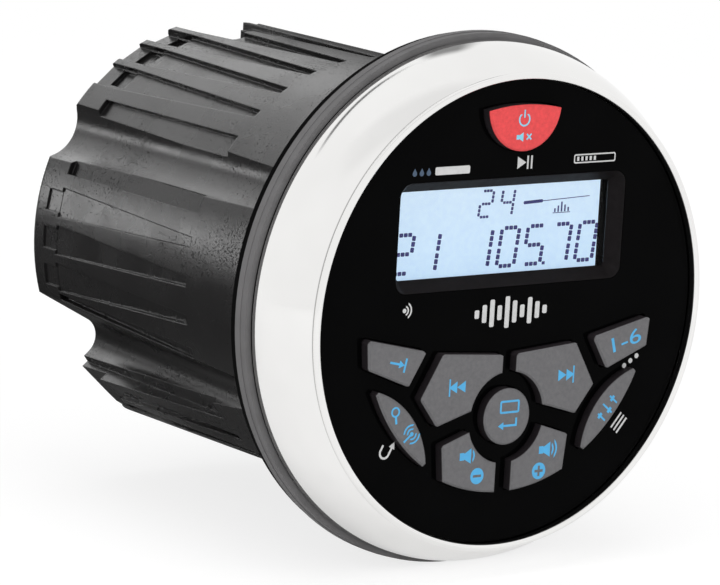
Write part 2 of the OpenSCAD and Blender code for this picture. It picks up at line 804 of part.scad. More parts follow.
module bezel_seal() {
    color("#101010") turned() translate([foot_r, bezel_rear])
        square([bezel_r - bezel_seal_inset - foot_r, bezel_gap]);
}

// Curved shell with a bead at its inner edge and a foot round the chassis skirt
module bezel_profile() {
    outer = [bezel_r, bezel_rear];
    inner = [face_r, bead_y];
    half = norm(outer - inner) / 2;
    across = unit([inner[1] - outer[1], outer[0] - inner[0]]);
    centre = (outer + inner) / 2 + sqrt(bezel_arc_r * bezel_arc_r - half * half) * across;
    difference() {
        intersection() {
            translate(centre) circle(r = bezel_arc_r, $fn = 180);
            translate([face_r, bead_y - over]) square([bezel_w + over, bezel_rear - bead_y + over]);
        }
        intersection() {
            translate(centre) circle(r = bezel_arc_r - bezel_wall, $fn = 180);
            translate([foot_r, skirt_top - over])
                square([bezel_r, bezel_rear - bezel_foot - skirt_top + over]);
        }
        translate([face_r - over, skirt_top - 2 * fit_gap])
            square([foot_r - face_r + over, bezel_rear - skirt_top + over]);
    }
    translate([face_r + bead_r, bead_y]) circle(r = bead_r, $fn = 48);
}

module chrome_bezel() {
    color("#f2f1ef") turned() bezel_profile();
}

module faceplate() {
    color("#060606") difference() {
        union() {
            rod(faceplate_r, face_y, faceplate_rear);
            for (angle = board_screw_angles)
                around(angle) translate([board_screw_ring, 0, 0])
                    rod(boss_r, faceplate_rear - eps, board_front);
        }
        slab(face_y - over, faceplate_rear + over) display_outline(display_w, display_h, display_r);
        each_key()
            facing(faceplate_rear + over) key_form($kind, key_gap, faceplate_t + 2 * over, 0);
        for (angle = board_screw_angles)
            around(angle) translate([board_screw_ring, 0, 0])
                rod(screw_r, board_front - board_thread - thread_spare, board_front + over);
    }
}

module face_seal() {
    color("#1c1c1c") turned() translate([skirt_inner_r + fit_gap, faceplate_rear])
        square([faceplate_r - skirt_inner_r - 2 * fit_gap, face_seal_t]);
}

// Frustum of the display recess, open towards the viewer
module recess_cut() {
    half_w = display_w / 2 - fit_gap;
    half_h = display_h / 2 - fit_gap;
    corner_x = half_w - display_r;
    corner_z = half_h - display_r;
    translate([0, 0, display_z]) {
        linear_extrude(2 * corner_z, center = true) polygon([
            [-half_w, face_y], [half_w, face_y],
            [half_w - recess_slope, window_front], [recess_slope - half_w, window_front]]);
        rotate([90, 0, 90]) linear_extrude(2 * corner_x, center = true) polygon([
            [face_y, -half_h], [face_y, half_h],
            [window_front, half_h - recess_slope], [window_front, recess_slope - half_h]]);
        for (x = [-1, 1], z = [-1, 1])
            translate([x * corner_x, face_y, z * corner_z])
                rotate([-90, 0, 0])
                cylinder(r1 = display_r, r2 = display_r - recess_slope, h = recess_depth, $fn = 48);
    }
}

module display_surround() {
    rim_w = display_w + 2 * surround_rim;
    rim_h = display_h + 2 * surround_rim;
    color("#1d1a1b") difference() {
        union() {
            slab(face_y + fit_gap / 2, faceplate_rear + eps)
                display_outline(display_w - 2 * fit_gap, display_h - 2 * fit_gap, display_r - fit_gap);
            slab(faceplate_rear, surround_rear) display_outline(rim_w, rim_h, display_r);
        }
        recess_cut();
        slab(window_front - eps, surround_rear + over)
            display_outline(window_w + 2 * fit_gap, window_h + 2 * fit_gap, window_r);
    }
}

module display_window() {
    color("#9fc4d8") slab(window_front, window_rear) display_outline(window_w, window_h, window_r);
}

// Plain block behind the display, between two stations
module display_block(from, to, margin) {
    translate([-window_w / 2 - margin, from, display_z - window_h / 2 - margin])
        cube([window_w + 2 * margin, to - from, window_h + 2 * margin]);
}

module lcd_glass() {
    color("#c8def2") display_block(lcd_front, lcd_rear, -2 * fit_gap);
}

module lcd_backlight() {
    color("white") display_block(lcd_rear, board_front, -2 * fit_gap);
}

module lcd_frame() {
    color("#e8e8e4") difference() {
        display_block(surround_rear, board_front, lcd_frame_wall);
        display_block(surround_rear - over, board_front + over, 0);
    }
}

module keypad_mat() {
    color("#3a393b") difference() {
        rod(front_board_r, mat_front, switch_top);
        display_block(mat_front - over, switch_top + over, lcd_frame_wall + 2 * fit_gap);
        each_key() translate([$spot[0], 0, $spot[1]])
            rod(stem_r + stem_gap, mat_front - over, switch_top + over);
        for (angle = board_screw_angles)
            around(angle) translate([board_screw_ring, 0, 0])
                rod(boss_r + 2 * fit_gap, mat_front - over, switch_top + over);
    }
}

module front_board() {
    color("#1f5c3a") difference() {
        rod(front_board_r, board_front, board_rear);
        for (angle = board_screw_angles)
            around(angle) translate([board_screw_ring, 0, 0])
                rod(screw_r + fit_gap, board_front - over, board_rear + over);
    }
}

module key_switches() {
    color("#2a2a2a") each_key()
        translate([$spot[0], 0, $spot[1]]) difference() {
            translate([-switch_w / 2, switch_top, -switch_w / 2]) cube([switch_w, switch_h, switch_w]);
            rod(stem_r + stem_gap, switch_top - over, board_front + over);
        }
}

module front_board_screws() {
    color("silver") for (angle = board_screw_angles)
        around(angle) translate([board_screw_ring, board_rear + screw_head_h, 0])
            mirror([0, 1, 0]) screw(board_t + board_thread);
}

module wireless_module() {
    color("#b9bcc0") translate([-wireless_w / 2, board_rear, wireless_z])
        cube([wireless_w, wireless_t, wireless_h]);
}

module board_connector() {
    color("#d8d2c0") translate([-connector_w / 2, board_rear, main_board_z])
        cube([connector_w, main_board_front + connector_lap - board_rear, connector_h]);
}

module main_board() {
    color("#1f5c3a") difference() {
        translate([-main_board_w / 2, main_board_front, main_board_z - board_t])
            cube([main_board_w, main_board_len, board_t]);
        for (side = [-1, 1], y = main_screw_y)
            translate([side * main_screw_x, y, main_board_z - board_t - over])
                cylinder(r = screw_r + fit_gap, h = board_t + 2 * over);
    }
}

module amplifier_chip() {
    color("#202124") translate([-amp_w / 2, sink_y + sink_rim, main_board_z]) cube([amp_w, amp_len, amp_h]);
}

module heat_sink() {
    fin_pitch = (sink_w - fin_t) / (fin_count - 1);
    color("#c4c6c8") translate([-sink_w / 2, sink_y, main_board_z + amp_h]) {
        cube([sink_w, sink_len, sink_base]);
        for (i = [0:fin_count - 1])
            translate([i * fin_pitch, 0, sink_base - eps]) cube([fin_t, sink_len, fin_h]);
    }
}

module filter_capacitors() {
    color("#2d3d63") {
        for (i = [0, 1])
            translate([small_cap_x + i * (small_cap_d + part_gap), cap_y, main_board_z])
                cylinder(d = small_cap_d, h = small_cap_h);
        translate([large_cap_x, cap_y, main_board_z]) cylinder(d = large_cap_d, h = large_cap_h);
    }
}

module choke_coil() {
    color("#b06a2a") translate([choke_x, choke_y, main_board_z + choke_t / 2])
        rotate_extrude() translate([choke_d / 2, 0]) circle(d = choke_t, $fn = 48);
}

module tuner_module() {
    color("#b9bcc0") translate([part_inset - main_board_w / 2, tuner_y, main_board_z])
        cube([tuner_w, tuner_len, tuner_h]);
}

module main_board_screws() {
    color("silver") for (side = [-1, 1], y = main_screw_y)
        translate([side * main_screw_x, y, main_board_z + screw_head_h])
            rotate([-90, 0, 0]) screw(board_t + board_thread);
}

module housing_screws() {
    color("silver") for (angle = [45:90:315])
        around(angle) translate([housing_screw_ring, flange_front, 0])
            screw(flange_t - screw_head_h + housing_thread);
}

module housing_seal() {
    color("#101010") turned() translate([barrel_bore_r - oring_r - eps, oring_at + fit_gap + oring_r])
        circle(r = oring_r, $fn = 48);
}

// Rubber gland held by its groove in the rear wall
module gland(hole_d) {
    neck = hole_d / 2 - fit_gap;
    bore = gland_bore * hole_d / 2;
    turned() polygon([
        [bore, cavity_end - gland_lip], [neck + gland_lip, cavity_end - gland_lip],
        [neck + gland_lip, cavity_end], [neck, cavity_end], [neck, barrel_len],
        [neck + gland_flange, barrel_len], [neck + gland_flange, barrel_len + gland_flange_t],
        [bore + gland_wall, barrel_len + gland_len], [bore, barrel_len + gland_len]]);
}

module harness_gland() {
    color("#171717") translate([0, 0, harness_z]) gland(harness_hole_d);
}

module signal_gland() {
    color("#171717") translate([0, 0, signal_z]) gland(signal_hole_d);
}

module mounting_studs() {
    color("#c9c9c6") for (side = [-1, 1])
        translate([side * stud_spacing / 2, 0, 0]) {
            rod(stud_head_r, cavity_end + stud_head_wall, barrel_len);
            rod(stud_d / 2, barrel_len - eps, barrel_len + stud_len);
        }
}

module power_key() { color("#de4c4e") push_key("power", 1, power_spot); }
module source_key() { color("#686769") push_key("side", -1, side_spot); }
module preset_key() { color("#686769") push_key("side", 1, side_spot); }
module previous_key() { color("#686769") push_key("skip", -1, skip_spot); }
module next_key() { color("#686769") push_key("skip", 1, skip_spot); }
module band_key() { color("#686769") push_key("leaf", -1, leaf_middle); }
module audio_key() { color("#686769") push_key("leaf", 1, leaf_middle); }
module enter_key() { color("#686769") push_key("enter", 1, enter_at); }
module volume_down_key() { color("#686769") push_key("volume", -1, volume_spot); }
module volume_up_key() { color("#686769") push_key("volume", 1, volume_spot); }
module power_plunger() { plunger(1, power_spot); }
module source_plunger() { plunger(-1, side_spot); }
module preset_plunger() { plunger(1, side_spot); }
module previous_plunger() { plunger(-1, skip_spot); }
module next_plunger() { plunger(1, skip_spot); }
module band_plunger() { plunger(-1, leaf_middle); }
module audio_plunger() { plunger(1, leaf_middle); }
module enter_plunger() { plunger(1, enter_at); }
module volume_down_plunger() { plunger(-1, volume_spot); }
module volume_up_plunger() { plunger(1, volume_spot); }

rear_housing();
front_chassis();
panel_gasket();
bezel_seal();
chrome_bezel();
faceplate();
face_seal();
display_surround();
display_window();
lcd_glass();
lcd_backlight();
lcd_frame();
keypad_mat();
front_board();
key_switches();
front_board_screws();
wireless_module();
board_connector();
main_board();
amplifier_chip();
heat_sink();
filter_capacitors();
choke_coil();
tuner_module();
main_board_screws();
housing_screws();
housing_seal();
harness_gland();
signal_gland();
mounting_studs();
power_key();
source_key();
preset_key();
previous_key();
next_key();
band_key();
audio_key();
enter_key();
volume_down_key();
volume_up_key();
power_plunger();
source_plunger();
preset_plunger();
previous_plunger();
next_plunger();
band_plunger();
audio_plunger();
enter_plunger();
volume_down_plunger();
volume_up_plunger();
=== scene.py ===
"""Looks of a round marine stereo: ribbed barrel, flange, bright bezel, black face, display and keys."""

import math

import bpy
from mathutils import Matrix, Vector


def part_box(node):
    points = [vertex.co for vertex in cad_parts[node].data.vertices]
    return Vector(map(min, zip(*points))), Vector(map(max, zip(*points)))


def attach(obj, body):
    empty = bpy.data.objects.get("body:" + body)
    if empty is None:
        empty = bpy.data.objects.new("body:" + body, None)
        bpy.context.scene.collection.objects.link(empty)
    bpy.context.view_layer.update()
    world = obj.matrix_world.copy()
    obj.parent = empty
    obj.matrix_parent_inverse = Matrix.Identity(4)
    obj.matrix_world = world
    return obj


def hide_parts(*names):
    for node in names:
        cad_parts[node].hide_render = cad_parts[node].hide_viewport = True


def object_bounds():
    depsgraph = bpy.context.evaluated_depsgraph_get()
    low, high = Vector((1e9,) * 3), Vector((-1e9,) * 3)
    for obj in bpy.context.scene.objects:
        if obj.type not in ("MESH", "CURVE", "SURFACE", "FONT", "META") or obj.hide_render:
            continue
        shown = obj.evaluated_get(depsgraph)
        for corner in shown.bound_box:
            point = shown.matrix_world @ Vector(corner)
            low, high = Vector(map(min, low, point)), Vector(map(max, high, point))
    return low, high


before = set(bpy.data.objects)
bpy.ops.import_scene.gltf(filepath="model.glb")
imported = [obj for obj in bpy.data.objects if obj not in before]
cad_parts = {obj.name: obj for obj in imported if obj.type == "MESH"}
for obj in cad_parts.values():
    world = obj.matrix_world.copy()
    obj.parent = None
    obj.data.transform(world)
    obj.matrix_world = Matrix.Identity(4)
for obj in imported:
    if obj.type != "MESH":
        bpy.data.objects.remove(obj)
cad_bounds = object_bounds()

MM = 0.001
KEYS = [
    "power", "source", "preset", "previous", "next",
    "band", "audio", "enter", "volume_down", "volume_up",
]

# Surfaces that carry marks, and the floor under the flange
FACE_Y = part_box("faceplate")[0].y
KEY_TOP_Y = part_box("enter_key")[0].y
LCD_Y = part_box("lcd_glass")[0].y
FLOOR_Z = cad_bounds[0].z

# Paint: its thickness, how far it sinks into the surface, and the small lifts between overlapping marks
PRINT_T = 0.012 * MM
PRINT_SINK = 0.02 * MM
PRINT_LIFT = 0.003 * MM
PRINT_LEVELS = 5

# Section of the bright bezel, and the crease behind the bead along its inner edge, darkened with painted
# shade
BEZEL_OUTER_R = 49.6 * MM
BEZEL_INNER_R = 44 * MM
BEZEL_ARC_R = 16 * MM
BEZEL_WALL = 1.6 * MM
BEAD_R = 0.7 * MM
BEZEL_STEPS = 288
ARC_CORNERS = 240
BEAD_CORNERS = 32
SMOOTH_ANGLE = 35
MERGE_GAP = 0.001 * MM
GROOVE_R = 44.78 * MM
GROOVE_Y = -18.33 * MM

# The part of a noise's range in which its tones change
CLOUD_LOW = 0.3
CLOUD_HIGH = 0.7

# How much finer the grain is than the drift of the tones, the drift of the roughness, and samples of an edge
FINE_GRAIN = 6
SHINE_VARY = 0.1
EDGE_SAMPLES = 6

# Colour sockets of a Mix node, which share their names with its other sockets
MIX_FIRST = 6
MIX_SECOND = 7
MIX_RESULT = 2


# Shader helpers: each gives back the socket with its result, unless it says otherwise


def blank_material(name):
    """A new material with its tree, its shader and the socket with Object coordinates."""
    material = bpy.data.materials.new(name)
    material.use_nodes = True
    tree = material.node_tree
    shader = tree.nodes["Principled BSDF"]
    place = tree.nodes.new("ShaderNodeTexCoord").outputs["Object"]
    return material, tree, shader, place


def noise(tree, place, scale, detail=2.0, roughness=0.5):
    node = tree.nodes.new("ShaderNodeTexNoise")
    node.inputs["Scale"].default_value = scale
    node.inputs["Detail"].default_value = detail
    node.inputs["Roughness"].default_value = roughness
    tree.links.new(place, node.inputs["Vector"])
    return node.outputs["Fac"]


def ramp(tree, source, start, end):
    """Colour that goes from one stop to another; a stop is a position and a colour."""
    node = tree.nodes.new("ShaderNodeValToRGB")
    for element, (position, colour) in zip(node.color_ramp.elements, (start, end)):
        element.position = position
        element.color = (*colour, 1)
    tree.links.new(source, node.inputs["Fac"])
    return node.outputs["Color"]


def clouded(tree, cloud, dark, light):
    """Colour that drifts between two tones with a noise."""
    return ramp(tree, cloud, (CLOUD_LOW, dark), (CLOUD_HIGH, light))


def spread(tree, source, low, high, to_low, to_high):
    """A value moved from one range to another."""
    node = tree.nodes.new("ShaderNodeMapRange")
    node.inputs["From Min"].default_value = low
    node.inputs["From Max"].default_value = high
    node.inputs["To Min"].default_value = to_low
    node.inputs["To Max"].default_value = to_high
    tree.links.new(source, node.inputs["Value"])
    return node.outputs["Result"]


def varied_shine(tree, shader, cloud, low, high):
    """Lets the roughness of a shader drift with a noise."""
    shine = spread(tree, cloud, CLOUD_LOW, CLOUD_HIGH, low, high)
    tree.links.new(shine, shader.inputs["Roughness"])


def reckon(tree, operation, *values):
    node = tree.nodes.new("ShaderNodeMath")
    node.operation = operation
    for i, value in enumerate(values):
        tree.links.new(value, node.inputs[i])
    return node.outputs["Value"]


def length_of(tree, vector):
    node = tree.nodes.new("ShaderNodeVectorMath")
    node.operation = "LENGTH"
    tree.links.new(vector, node.inputs[0])
    return node.outputs["Value"]


def split_axes(tree, place):
    """The X, Y and Z sockets of a place."""
    node = tree.nodes.new("ShaderNodeSeparateXYZ")
    tree.links.new(place, node.inputs["Vector"])
    return node.outputs


def flat_vector(tree, x, y):
    node = tree.nodes.new("ShaderNodeCombineXYZ")
    tree.links.new(x, node.inputs["X"])
    tree.links.new(y, node.inputs["Y"])
    return node.outputs["Vector"]


def colour_mix(tree, factor, first):
    """A Mix node for two colours; its second colour is still to be set."""
    node = tree.nodes.new("ShaderNodeMix")
    node.data_type = "RGBA"
    tree.links.new(factor, node.inputs["Factor"])
    tree.links.new(first, node.inputs[MIX_FIRST])
    return node


def grain(tree, shader, height, depth, strength, edge):
    """Roughens a surface by a height, and rounds its edges in the light where the edge radius isn't zero."""
    bump = tree.nodes.new("ShaderNodeBump")
    bump.inputs["Distance"].default_value = depth
    bump.inputs["Strength"].default_value = strength
    tree.links.new(height, bump.inputs["Height"])
    if edge > 0:
        bevel = tree.nodes.new("ShaderNodeBevel")
        bevel.samples = EDGE_SAMPLES
        bevel.inputs["Radius"].default_value = edge
        tree.links.new(bevel.outputs["Normal"], bump.inputs["Normal"])
    tree.links.new(bump.outputs["Normal"], shader.inputs["Normal"])


def tint(colour, share):
    return tuple(min(1.0, c * share) for c in colour)


def varied_tone(tree, cloud, colour, vary):
    """One colour that drifts by a share to both sides with a noise."""
    return clouded(tree, cloud, tint(colour, 1 - vary), tint(colour, 1 + vary))


# Finishes


def plain_surface(
    name, colour, roughness, vary=0.15, scale=400, depth=0.02 * MM, metallic=0.0, specular=0.5, edge=0.0
):
    """One colour that varies by a share, with a fine grain."""
    material, tree, shader, place = blank_material(name)
    cloud = noise(tree, place, scale)
    tree.links.new(varied_tone(tree, cloud, colour, vary), shader.inputs["Base Color"])
    varied_shine(tree, shader, cloud, roughness * (1 - SHINE_VARY), roughness * (1 + SHINE_VARY))
    shader.inputs["Metallic"].default_value = metallic
    shader.inputs["Specular IOR Level"].default_value = specular
    fine = noise(tree, place, scale * FINE_GRAIN)
    grain(tree, shader, fine, depth, strength=0.5, edge=edge)
    return material


def paint(name, colour):
    return plain_surface(name, colour, roughness=0.5, vary=0.05, scale=900)


def moulded_housing():
    """Satin black plastic with a fine spark grain, and small pits that crowd together in patches."""
    material, tree, shader, place = blank_material("housing_black")
    cloud = noise(tree, place, scale=90, detail=3)
    tones = clouded(tree, cloud, dark=(0.0055, 0.0051, 0.0053), light=(0.0095, 0.0089, 0.0091))
    tree.links.new(tones, shader.inputs["Base Color"])
    varied_shine(tree, shader, cloud, low=0.23, high=0.32)
    spark = noise(tree, place, scale=2600, detail=3, roughness=0.6)
    pits = noise(tree, place, scale=2500, roughness=0.6)
    patch = noise(tree, place, scale=45, detail=1)
    crowd = spread(tree, patch, low=0.45, high=0.65, to_low=0.0, to_high=0.11)
    marks = reckon(tree, "ADD", pits, crowd)
    hole = spread(tree, marks, low=0.66, high=0.76, to_low=0.0, to_high=-2.0)
    dull = spread(tree, marks, low=0.65, high=0.74, to_low=0.12, to_high=0.04)
    tree.links.new(dull, shader.inputs["Specular IOR Level"])
    height = reckon(tree, "ADD", spark, hole)
    grain(tree, shader, height, depth=0.05 * MM, strength=0.5, edge=0.35 * MM)
    return material


def bright_chrome():
    """Bright chrome, with painted shade in the crease behind the bead."""
    material, tree, shader, place = blank_material("chrome_bright")
    cloud = noise(tree, place, scale=60)
    tones = clouded(tree, cloud, dark=(0.83, 0.825, 0.815), light=(0.88, 0.875, 0.865))
    axes = split_axes(tree, place)
    radius = length_of(tree, flat_vector(tree, axes["X"], axes["Z"]))
    apart = tree.nodes.new("ShaderNodeVectorMath")
    apart.operation = "DISTANCE"
    tree.links.new(flat_vector(tree, radius, axes["Y"]), apart.inputs[0])
    apart.inputs[1].default_value = (GROOVE_R, GROOVE_Y, 0)
    # Painted shade: the chrome turns near-black in a thin band round the crease behind the bead
    groove_shade = spread(tree, apart.outputs["Value"], low=0.2 * MM, high=0.45 * MM, to_low=0.9, to_high=0.0)
    plated_and_shaded = colour_mix(tree, groove_shade, tones)
    plated_and_shaded.inputs[MIX_SECOND].default_value = (0.03, 0.03, 0.03, 1)
    tree.links.new(plated_and_shaded.outputs[MIX_RESULT], shader.inputs["Base Color"])
    varied_shine(tree, shader, cloud, low=0.05, high=0.09)
    shader.inputs["Metallic"].default_value = 1.0
    return material


def key_cap(name, top):
    """Coated rubber key with a coloured top and dark sides."""
    material, tree, shader, place = blank_material(name)
    depth = split_axes(tree, place)["Y"]
    below = spread(tree, depth, low=KEY_TOP_Y + 0.3 * MM, high=KEY_TOP_Y + 0.5 * MM, to_low=0, to_high=1)
    cloud = noise(tree, place, scale=1500, detail=3, roughness=0.6)
    coat = colour_mix(tree, below, varied_tone(tree, cloud, top, vary=0.1))
    side = varied_tone(tree, cloud, (0.016, 0.013, 0.015), vary=0.2)
    tree.links.new(side, coat.inputs[MIX_SECOND])
    tree.links.new(coat.outputs[MIX_RESULT], shader.inputs["Base Color"])
    shader.inputs["Roughness"].default_value = 0.6
    shader.inputs["Specular IOR Level"].default_value = 0.3
    fine = noise(tree, place, scale=4200)
    grain(tree, shader, fine, depth=0.03 * MM, strength=0.35, edge=0.2 * MM)
    return material


def display_glow():
    """Lit display, a little paler towards its top."""
    material, tree, shader, place = blank_material("display_glow")
    low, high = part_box("lcd_glass")
    rise = spread(tree, split_axes(tree, place)["Z"], low.z, high.z, to_low=0.0, to_high=1.0)
    light = ramp(tree, rise, (0.0, (0.53, 0.72, 0.92)), (1.0, (0.62, 0.77, 0.92)))
    tree.links.new(light, shader.inputs["Emission Color"])
    shader.inputs["Emission Strength"].default_value = 0.86
    cells = noise(tree, place, scale=900, detail=1)
    tones = clouded(tree, cells, dark=(0.12, 0.16, 0.20), light=(0.16, 0.20, 0.24))
    tree.links.new(tones, shader.inputs["Base Color"])
    shader.inputs["Roughness"].default_value = 0.5
    return material


def clear_window():
    material, tree, shader, place = blank_material("window_clear")
    cloud = noise(tree, place, scale=120)
    tones = clouded(tree, cloud, dark=(0.97, 0.98, 0.99), light=(1.0, 1.0, 1.0))
    tree.links.new(tones, shader.inputs["Base Color"])
    shader.inputs["Transmission Weight"].default_value = 1.0
    shader.inputs["IOR"].default_value = 1.12
    shader.inputs["Roughness"].default_value = 0.0
    return material


print_blue = paint("print_blue", (0.075, 0.40, 0.72))
print_pale_blue = paint("print_pale_blue", (0.24, 0.62, 0.80))
print_white = paint("print_white", (0.60, 0.60, 0.60))
print_dim_blue = paint("print_dim_blue", (0.05, 0.085, 0.14))
segment_navy = plain_surface("segment_navy", (0.040, 0.040, 0.20), 0.6, vary=0.1, scale=700)
laminate_green = plain_surface("laminate_green", (0.02, 0.11, 0.05), 0.45, vary=0.2, scale=300)
tin_shield = plain_surface("tin_shield", (0.55, 0.56, 0.58), 0.35, vary=0.08, scale=300, metallic=0.9)
steel_bright = plain_surface(
    "steel_bright", (0.62, 0.62, 0.60), 0.28, vary=0.08, scale=500, metallic=1.0, edge=0.1 * MM)
slate_cap = key_cap("key_slate", (0.138, 0.136, 0.141))
red_cap = key_cap("key_red", (0.76, 0.072, 0.076))
plunger_white = plain_surface("plunger_white", (0.78, 0.78, 0.77), 0.5, vary=0.05)
gland_black = plain_surface("gland_black", (0.010, 0.010, 0.010), 0.65, edge=0.2 * MM)
seal_black = plain_surface("seal_black", (0.002, 0.002, 0.002), 0.7, specular=0.02)
# Near-black for the strip of painted shade over the right end of the display
painted_shade_black = plain_surface("painted_shade_black", (0.002, 0.002, 0.002), 0.6, vary=0.2, scale=700, specular=0.05)
chrome_bright = bright_chrome()

LOOKS = {
    "rear_housing": moulded_housing(),
    "front_chassis": plain_surface(
        "flange_grey", (0.155, 0.152, 0.154), 0.5, vary=0.08, scale=200, specular=0.04, edge=0.1 * MM),
    "panel_gasket": plain_surface(
        "gasket_black", (0.002, 0.002, 0.002), 0.7, vary=0.2, scale=500, specular=0.02),
    "chrome_bezel": chrome_bright,
    "faceplate": plain_surface(
        "face_black", (0.0012, 0.0012, 0.0013), 0.07, vary=0.2, scale=60, depth=0.0005 * MM, specular=0.02),
    "face_seal": seal_black,
    "bezel_seal": seal_black,
    "display_surround": plain_surface(
        "surround_black", (0.009, 0.0078, 0.0082), 0.5, vary=0.2, scale=700, specular=0.06),
    "display_window": clear_window(),
    "lcd_glass": display_glow(),
    "lcd_backlight": plain_surface("light_guide_white", (0.75, 0.78, 0.80), 0.4, vary=0.05),
    "lcd_frame": plain_surface("frame_ivory", (0.72, 0.72, 0.68), 0.5, vary=0.05),
    "keypad_mat": plain_surface("mat_grey", (0.04, 0.039, 0.041), 0.7),
    "front_board": laminate_green,
    "key_switches": plain_surface("switch_black", (0.022, 0.022, 0.023), 0.5),
    "front_board_screws": steel_bright,
    "wireless_module": tin_shield,
    "board_connector": plain_surface("connector_ivory", (0.62, 0.58, 0.47), 0.5, vary=0.05),
    "main_board": laminate_green,
    "amplifier_chip": plain_surface("chip_black", (0.016, 0.016, 0.018), 0.5),
    "heat_sink": plain_surface(
        "sink_aluminium", (0.56, 0.57, 0.58), 0.35, vary=0.08, scale=500, metallic=1.0),
    "filter_capacitors": plain_surface("sleeve_blue", (0.026, 0.045, 0.12), 0.4),
    "choke_coil": plain_surface(
        "coil_copper", (0.45, 0.16, 0.04), 0.35, vary=0.2, scale=900, metallic=0.8),
    "tuner_module": tin_shield,
    "main_board_screws": steel_bright,
    "housing_screws": steel_bright,
    "housing_seal": plain_surface("oring_black", (0.007, 0.007, 0.007), 0.6),
    "harness_gland": gland_black,
    "signal_gland": gland_black,
    "mounting_studs": steel_bright,
}
for key in KEYS:
    LOOKS[key + "_key"] = red_cap if key == "power" else slate_cap
    LOOKS[key + "_plunger"] = plunger_white
for node, look in LOOKS.items():
    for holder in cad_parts[node].material_slots:
        holder.material = look


# Drawing flat marks: in millimetres, with X to the right and Y up, as the viewer sees them

CORNER_STEPS = 6
CUTTER_T = 1 * MM


def only(piece):
    """Selects one piece alone."""
    bpy.ops.object.select_all(action="DESELECT")
    piece.select_set(True)
    bpy.context.view_layer.objects.active = piece


def settle(piece):
    """Puts a piece's place, turn and scale into its mesh."""
    only(piece)
    bpy.ops.object.transform_apply(location=True, rotation=True, scale=True)
    return piece


def bar(x, y, width, height, turn=0.0, corner=0.0):
    """Flat bar round a place, turned in degrees, with its corners rounded where a radius is given."""
    bpy.ops.object.select_all(action="DESELECT")
    bpy.ops.mesh.primitive_plane_add(size=1)
    piece = bpy.context.object
    piece.scale = (width * MM, height * MM, 1)
    settle(piece)
    if corner > 0:
        bpy.ops.object.mode_set(mode="EDIT")
        bpy.ops.mesh.select_all(action="SELECT")
        bpy.ops.mesh.bevel(affect="VERTICES", offset=corner * MM, segments=CORNER_STEPS, clamp_overlap=True)
        bpy.ops.object.mode_set(mode="OBJECT")
    piece.rotation_euler.z = math.radians(turn)
    piece.location = (x * MM, y * MM, 0)
    return settle(piece)


def disc(x, y, radius, corners=48, turn=0.0):
    bpy.ops.object.select_all(action="DESELECT")
    bpy.ops.mesh.primitive_circle_add(vertices=corners, radius=radius * MM, fill_type="NGON")
    piece = bpy.context.object
    piece.rotation_euler.z = math.radians(turn)
    piece.location = (x * MM, y * MM, 0)
    return settle(piece)


def wedge(x, y, size, turn=0.0):
    """Triangle that points to the right before it is turned."""
    return disc(x, y, size, 3, turn - 90)


def ring(x, y, radius, width, keep=None):
    """Flat ring. With keep, an offset and a direction in degrees, only what lies beyond the offset stays."""
    piece = disc(0, 0, radius)
    bpy.ops.object.mode_set(mode="EDIT")
    bpy.ops.mesh.select_all(action="SELECT")
    bpy.ops.mesh.inset(thickness=width * MM)
    bpy.ops.mesh.delete(type="FACE")
    if keep:
        offset, direction = keep
        side = (math.cos(math.radians(direction)), math.sin(math.radians(direction)), 0)
        bpy.ops.mesh.select_all(action="SELECT")
        bpy.ops.mesh.bisect(
            plane_co=[offset * MM * c for c in side], plane_no=side, clear_inner=True
        )
    bpy.ops.object.mode_set(mode="OBJECT")
    piece.location = (x * MM, y * MM, 0)
    return settle(piece)


def figures(text, width, height):
    """Plain figures, stretched to a size."""
    bpy.ops.object.select_all(action="DESELECT")
    bpy.ops.object.text_add()
    piece = bpy.context.object
    piece.data.body = text
    piece.data.align_x = "CENTER"
    piece.data.align_y = "CENTER"
    bpy.ops.object.convert(target="MESH")
    piece = bpy.context.object
    size = piece.dimensions
    piece.scale = (width * MM / size.x, height * MM / size.y, 1)
    return settle(piece)


def joined(pieces, name):
    """One piece made of many. Small lifts keep marks that overlap out of one plane."""
    for i, piece in enumerate(pieces):
        piece.location.z = (i % PRINT_LEVELS) * PRINT_LIFT
        settle(piece)
    bpy.ops.object.select_all(action="DESELECT")
    for piece in pieces:
        piece.select_set(True)
    bpy.context.view_layer.objects.active = pieces[0]
    if len(pieces) > 1:
        bpy.ops.object.join()
    piece = bpy.context.object
    piece.name = name
    piece.data.name = name
    return piece


def moved(pieces, x, y, turn=0.0, size=1.0):
    """A mark drawn round its own middle, put at a place."""
    mark = joined(pieces, "mark")
    mark.scale = (size, size, 1)
    mark.rotation_euler.z = math.radians(turn)
    mark.location = (x * MM, y * MM, 0)
    return settle(mark)


def thicken(piece, thickness):
    """Gives a flat piece a thickness, with all faces outwards."""
    only(piece)
    solid = piece.modifiers.new("thickness", "SOLIDIFY")
    solid.thickness = thickness
    solid.offset = 1
    bpy.ops.object.modifier_apply(modifier=solid.name)
    bpy.ops.object.mode_set(mode="EDIT")
    bpy.ops.mesh.select_all(action="SELECT")
    bpy.ops.mesh.normals_make_consistent(inside=False)
    bpy.ops.object.mode_set(mode="OBJECT")


def printed(name, pieces, surface_y, look, body):
    """Joins flat marks, gives them the thickness of paint and stands them on a surface that looks to -Y."""
    piece = joined(pieces, name)
    thicken(piece, PRINT_T + PRINT_SINK)
    piece.rotation_euler.x = math.pi / 2
    piece.location.y = surface_y + PRINT_SINK
    settle(piece)
    piece.data.materials.clear()
    piece.data.materials.append(look)
    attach(piece, body)


def cut_out(piece, cutter):
    """Cuts the shape of one flat mark out of another."""
    thicken(cutter, CUTTER_T)
    cutter.location.z = -CUTTER_T / 2
    settle(cutter)
    only(piece)
    cut = piece.modifiers.new("cut", "BOOLEAN")
    cut.operation = "DIFFERENCE"
    cut.object = cutter
    bpy.ops.object.modifier_apply(modifier=cut.name)
    bpy.data.objects.remove(cutter)
    return piece


# Marks on the keys

BOLD_LINE = 0.42
LINE = 0.36
THIN_LINE = 0.32

